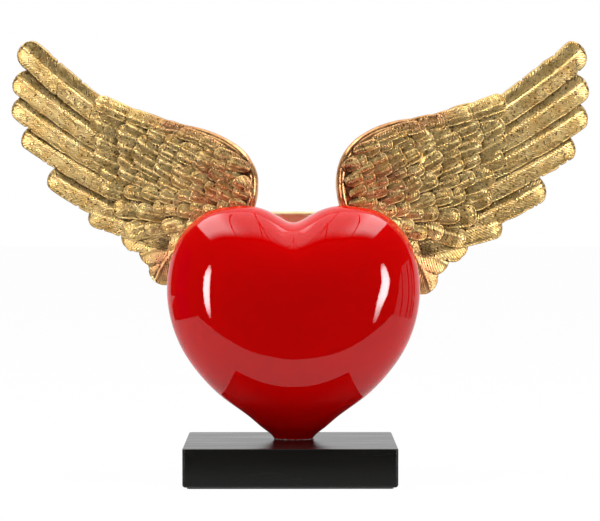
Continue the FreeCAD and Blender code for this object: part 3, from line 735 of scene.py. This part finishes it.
def gold_paint():
    """Smoother gold on the yoke's plate."""
    n = Nodes("gold_paint")
    n.to(n.ramp(n.noise(60, 4), (0.3, (0.66, 0.46, 0.20)), (0.7, (0.92, 0.74, 0.46))), "Base Color")
    n.to(n.ramp(n.noise(150, 4), (0.3, 0.38), (0.7, 0.55)), "Roughness")
    n.set(Metallic=0.5)
    n.to(n.bump(n.noise(180, 4), 0.0005, 0.35), "Normal")
    return n.material


def block_lacquer():
    n = Nodes("block_lacquer")
    streaks = n.noise(30, 5, 0.6, (0.25, 2.5, 2.5))
    n.to(n.ramp(streaks, (0.3, (0.006, 0.0056, 0.005)), (0.7, (0.010, 0.0094, 0.0083))), "Base Color")
    n.to(n.ramp(n.noise(45, 5, 0.6, (0.3, 3, 3)), (0.3, 0.19), (0.7, 0.28)), "Roughness")
    n.set(Specular_IOR_Level=0.2)
    n.to(n.bump(n.noise(220, 4, 0.6, (0.35, 1.5, 1.5)), 0.0003, 0.08), "Normal")
    return n.material


def felt_fibre():
    n = Nodes("felt_fibre")
    fibres = n.noise(900, 5, 0.7)
    n.to(n.ramp(fibres, (0.3, (0.012, 0.012, 0.012)), (0.7, (0.035, 0.034, 0.032))), "Base Color")
    n.set(Roughness=0.95, Sheen_Weight=0.3, Sheen_Roughness=0.5)
    n.to(n.bump(fibres, 0.0006, 0.8), "Normal")
    return n.material


def zinc_plate():
    n = Nodes("zinc_plate")
    n.to(n.ramp(n.noise(240, 4), (0.3, (0.42, 0.42, 0.41)), (0.7, (0.62, 0.61, 0.58))), "Base Color")
    n.to(n.ramp(n.noise(500, 4), (0.3, 0.22), (0.7, 0.40)), "Roughness")
    n.set(Metallic=1.0)
    n.to(n.bump(n.noise(700, 3), 0.0001, 0.2), "Normal")
    return n.material


def clear_glue():
    """Clear glue, with the heart's red painted in where it would show through it and whitish painted
    highlights as glints in other places.
    """
    n = Nodes("clear_glue")
    n.to(n.ramp(n.noise(700, 3), (0.42, (0.10, 0.015, 0.012)), (0.60, (0.62, 0.52, 0.48))), "Base Color")
    n.to(n.ramp(n.noise(500, 3), (0.3, 0.12), (0.7, 0.3)), "Roughness")
    n.to(n.bump(n.noise(900, 3), 0.0003, 0.5), "Normal")
    return n.material


def paint(piece, material):
    piece.data.materials.clear()
    piece.data.materials.append(material)


def paint_node(name, material):
    """Paints a piece that keeps the solid's own shape."""
    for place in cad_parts[name].material_slots:
        place.material = material


# Studio. Cards stand round the object as they would in a light tent, and only reflections show them.


BLACK = (0, 0, 0)
DARK_GREY = (0.05, 0.05, 0.05)
WHITE = (1, 1, 1)


def flat_mesh(name, corners):
    mesh = bpy.data.meshes.new(name)
    mesh.from_pydata(corners, [], [list(range(len(corners)))])
    return mesh


def card_nodes(name, colour):
    """A material that returns no light and can glow in a colour."""
    n = Nodes(name)
    n.set(Base_Color=(*BLACK, 1), Roughness=1.0, Specular_IOR_Level=0.0, Emission_Color=(*colour, 1))
    return n


def make_card(name, corners, colour, glow=0.0):
    """A card of one colour, black unless it glows."""
    n = card_nodes(name, colour)
    n.set(Emission_Strength=glow)
    stage_card(name, flat_mesh(name, corners), n.material)


def stage_card(name, mesh, material):
    """Only reflections show a card."""
    card = bpy.data.objects.new(name, mesh)
    bpy.context.scene.collection.objects.link(card)
    card.data.materials.append(material)
    card.visible_camera = False
    card.visible_diffuse = False
    card.visible_shadow = False
    card.visible_transmission = False


def background_share(tree):
    """1 for the rays that show the background: the camera's, reflected ones and those through glass."""
    rays = tree.nodes.new("ShaderNodeLightPath")
    share = rays.outputs["Is Camera Ray"]
    for kind in ("Is Glossy Ray", "Is Transmission Ray"):
        either = tree.nodes.new("ShaderNodeMath")
        either.operation = "MAXIMUM"
        tree.links.new(share, either.inputs[0])
        tree.links.new(rays.outputs[kind], either.inputs[1])
        share = either.outputs[0]
    return share


def make_world(level):
    """White where it is seen, and a soft light of the given level on the object."""
    world = bpy.data.worlds.new("world")
    world.use_nodes = True
    tree = world.node_tree
    background = tree.nodes["Background"]
    background.inputs["Color"].default_value = (1, 1, 1, 1)
    strength = tree.nodes.new("ShaderNodeMapRange")
    strength.inputs["To Min"].default_value = level
    strength.inputs["To Max"].default_value = 1.0
    tree.links.new(background_share(tree), strength.inputs["Value"])
    tree.links.new(strength.outputs[0], background.inputs["Strength"])
    bpy.context.scene.world = world


def floor_white(whiteness):
    """A white floor that keeps some of the object's shadow."""
    n = Nodes("floor_white")
    n.to(n.ramp(n.noise(3, 3), (0.3, (0.84, 0.84, 0.84)), (0.7, (0.88, 0.88, 0.88))), "Base Color")
    n.set(Roughness=0.8, Specular_IOR_Level=0.1)
    share = n.maths("MULTIPLY", background_share(n.tree), whiteness)
    white = n.node("Emission")
    mix = n.node("MixShader")
    n.link(share, mix.inputs[0])
    n.link(n.shader.outputs[0], mix.inputs[1])
    n.link(white.outputs[0], mix.inputs[2])
    n.link(mix.outputs[0], n.tree.nodes["Material Output"].inputs["Surface"])
    return n.material


# The table's front edge as the gloss of the block and the heart shows it, in metres, and the floor's size
TABLE_EDGE = [
    (-0.428, -0.192), (-0.269, -0.181), (-0.153, -0.162), (-0.07, -0.142), (0.003, -0.132), (0.097, -0.138),
    (0.162, -0.151), (0.243, -0.163), (0.46, -0.176),
]
TABLE_BACK = 0.45
FLOOR_REACH = 4
FLOOR_BACK = 6


def make_floor():
    """The floor is one white level. Reflections show only the table and what lies behind it."""
    white = floor_white(0.98)
    (left, left_y), (right, right_y) = TABLE_EDGE[0], TABLE_EDGE[-1]
    far, back = FLOOR_REACH, TABLE_BACK
    sides = {
        "floor_table": TABLE_EDGE + [(right, back), (left, back)],
        "floor_front": TABLE_EDGE[::-1] + [(left, -far), (right, -far)],
        "floor_left": [(-far, -far), (left, -far), (left, left_y), (left, back), (-far, back)],
        "floor_right": [(right, -far), (far, -far), (far, back), (right, back), (right, right_y)],
        "floor_back": [(-far, back), (left, back), (right, back), (far, back), (far, FLOOR_BACK),
                       (-far, FLOOR_BACK)],
    }
    for name, corners in sides.items():
        part = bpy.data.objects.new(name, flat_mesh(name, [(x, y, 0) for x, y in corners]))
        part.visible_glossy = name in ("floor_table", "floor_back")
        bpy.context.scene.collection.objects.link(part)
        part.data.materials.append(white)


HEART_MIDDLE = (0.002, -0.02, 0.13)


def polar(azimuth, elevation, distance):
    """A place seen from the heart: azimuth 0 is towards the camera and 90 is to the right."""
    a, e = math.radians(azimuth), math.radians(elevation)
    x, y, z = HEART_MIDDLE
    return (x + distance * math.cos(e) * math.sin(a), y - distance * math.cos(e) * math.cos(a),
            z + distance * math.sin(e))


def polar_card(name, left, right, low, high, distance, colour, glow=0.0):
    """A card between two azimuths and two elevations."""
    corners = [polar(left, low, distance), polar(right, low, distance), polar(right, high, distance),
               polar(left, high, distance)]
    make_card(name, corners, colour, glow)


STRIP_DISTANCE = 1.15
STRIP_STRENGTH = 30.0
# The strip lights as the heart sees them: elevation, azimuths of both sides and glow, from top to bottom
STRIP_LEFT = [
    (22, -53.5, -51.5, 0.1), (17, -56.0, -50.5, 0.75), (13, -57.0, -50.5, 1), (3.5, -57.2, -50.7, 1),
    (-6, -56.6, -50.7, 0.9), (-11, -55.5, -51.0, 0.6), (-17, -54.0, -52.0, 0.1),
]
STRIP_RIGHT = [
    (22, 57.0, 60.0, 0.1), (17, 55.5, 62.5, 0.8), (11, 55.0, 64.0, 1), (7.5, 54.5, 64.2, 1),
    (3, 53.0, 62.5, 1), (-2, 51.5, 60.5, 1), (-7, 50.5, 57.5, 0.8), (-12, 50.0, 55.5, 0.45),
    (-20, 50.0, 53.0, 0.1),
]
# Places across a strip, and the glow there
STRIP_PROFILE = ((0, 0.35), (0.22, 1), (0.5, 1), (0.78, 1), (1, 0.35))


def strip_card(name, rows):
    """A bent strip light that is brightest along its middle."""
    places, glow = [], []
    for elevation, left, right, level in rows:
        for share, shine in STRIP_PROFILE:
            places.append(polar(left + (right - left) * share, elevation, STRIP_DISTANCE))
            glow.append(level * shine)
    n = card_nodes(name, (1, 0.97, 1))
    n.to(n.maths("MULTIPLY", n.attribute("glow"), STRIP_STRENGTH), "Emission Strength")
    mesh = bpy.data.meshes.new(name)
    mesh.from_pydata(places, [], grid_faces(len(rows), len(STRIP_PROFILE)))
    set_values(mesh, "glow", glow)
    stage_card(name, mesh, n.material)


def area_lamp(name, place, width, height, radiance):
    """A rectangular lamp that faces the object and glows with the given radiance. No reflection shows it."""
    data = bpy.data.lights.new(name, "AREA")
    data.shape = "RECTANGLE"
    data.size, data.size_y = width, height
    data.energy = radiance * math.pi * width * height
    lamp = bpy.data.objects.new(name, data)
    lamp.location = place
    aim = Vector(HEART_MIDDLE) - Vector(place)
    lamp.rotation_euler = aim.to_track_quat("-Z", "Y").to_euler()
    lamp.visible_camera = False
    lamp.visible_glossy = False
    bpy.context.scene.collection.objects.link(lamp)


CEILING = 1.3
CEILING_LEFT, CEILING_RIGHT = -1.14, 1.04
CEILING_FRONT, CEILING_BACK = -0.75, 0.6
# Dark lines across the ceiling: x and y of their back end and x of their front end
CEILING_SEAMS = [
    (-0.26, 0.4, -0.50), (0.03, 0.05, -0.18), (0.06, 0.6, -0.03), (-0.03, 0.05, 0.21), (0.30, 0.4, 0.53),
]
SEAM_HALF = 0.009


def ceiling_corners(front, back):
    return [(CEILING_LEFT, front, CEILING), (CEILING_RIGHT, front, CEILING), (CEILING_RIGHT, back, CEILING),
            (CEILING_LEFT, back, CEILING)]


def make_ceiling():
    """The ceiling glows evenly in its middle and brightly at its ends, and fades to the front."""
    n = card_nodes("ceiling_white", WHITE)
    split = n.node("SeparateXYZ")
    n.link(n.node("TexCoord").outputs["Object"], split.inputs[0])
    across = n.maths("ABSOLUTE", split.outputs["X"])
    ends = n.smooth_range(across, 0.24, 0.56, 1.8, 6.5)
    front = n.smooth_range(split.outputs["Y"], -0.70, -0.33, 0.0, 1.0)
    n.to(n.maths("MULTIPLY", ends, front), "Emission Strength")
    stage_card("ceiling_white", flat_mesh("ceiling_white", ceiling_corners(CEILING_FRONT, CEILING_BACK)),
               n.material)
    make_card("ceiling_back_seam", ceiling_corners(CEILING_BACK, CEILING_BACK + 0.04), WHITE)
    for i, (back_x, back_y, front_x) in enumerate(CEILING_SEAMS):
        corners = [(front_x - SEAM_HALF, CEILING_FRONT), (front_x + SEAM_HALF, CEILING_FRONT),
                   (back_x + SEAM_HALF, back_y), (back_x - SEAM_HALF, back_y)]
        make_card(f"ceiling_seam_{i}", [(x, y, CEILING - 0.01) for x, y in corners], BLACK)


DARK_DISTANCE = 2.3
DARK_FROM = -123
DARK_STEP = 20
DARK_COUNT = 12
GROUND = -0.9
# The lines on the panel to the right: azimuth and half width, in degrees
PANEL_LINES = ((82, 1.0), (96, 1.6), (106, 1.6), (114, 2.0))


def make_studio():
    make_world(0.12)
    make_floor()
    ground = [(-5, -5, GROUND), (5, -5, GROUND), (5, 1.6, GROUND), (-5, 1.6, GROUND)]
    make_card("dark_ground", ground, DARK_GREY, 1.0)
    for i in range(DARK_COUNT):
        left = DARK_FROM + i * DARK_STEP
        right = left + DARK_STEP + 0.3
        polar_card(f"dark_wall_{i}", left, right, -30, 40, DARK_DISTANCE, DARK_GREY, 1.0)
        polar_card(f"dark_roof_{i}", left, right, 40, 84, DARK_DISTANCE, DARK_GREY, 1.0)
    make_ceiling()
    for name, place in (("softbox_left", -0.65), ("softbox_right", 0.70)):
        area_lamp(name, (place, 0.0, CEILING - 0.03), 0.6, 0.75, 10.0)
    for name, azimuth in (("strip_light_left", -53), ("strip_light_right", 57)):
        area_lamp(name, polar(azimuth, 2.0, STRIP_DISTANCE), 0.13, 0.86, 4.0)
    strip_card("strip_left", STRIP_LEFT)
    strip_card("strip_right", STRIP_RIGHT)
    polar_card("panel_right", 72, 118, -20, 14, 2.0, WHITE, 0.7)
    for i, (azimuth, half) in enumerate(PANEL_LINES):
        polar_card(f"panel_line_{i}", azimuth - half, azimuth + half, -20, 14, 1.7, BLACK)
    polar_card("panel_left", -100, -76, -20, 26, 2.0, (0.8, 0.1, 0.9), 0.12)


heart = make_heart()
paint(heart, heart_paint())
paint(make_glue(), clear_glue())
right_wing = make_wing("wing_right", 1, 8.0, 0.0, 1.0, 0.8, 0.997, 100)
left_wing = make_wing("wing_left", -1, 9.4, 5.0, 0.916, 5.6, 1.006, 900)
leaf = gold_leaf()
for wing in (right_wing, left_wing):
    paint(wing, leaf)
paint_node("base_block", block_lacquer())
paint_node("wing_yoke", gold_paint())
paint_node("felt_sheet", felt_fibre())
steel = zinc_plate()
for fixing in ("rod_washer", "rod_nut", "tie_rod", "yoke_screws", "wing_screws_right", "wing_screws_left"):
    paint_node(fixing, steel)
make_studio()
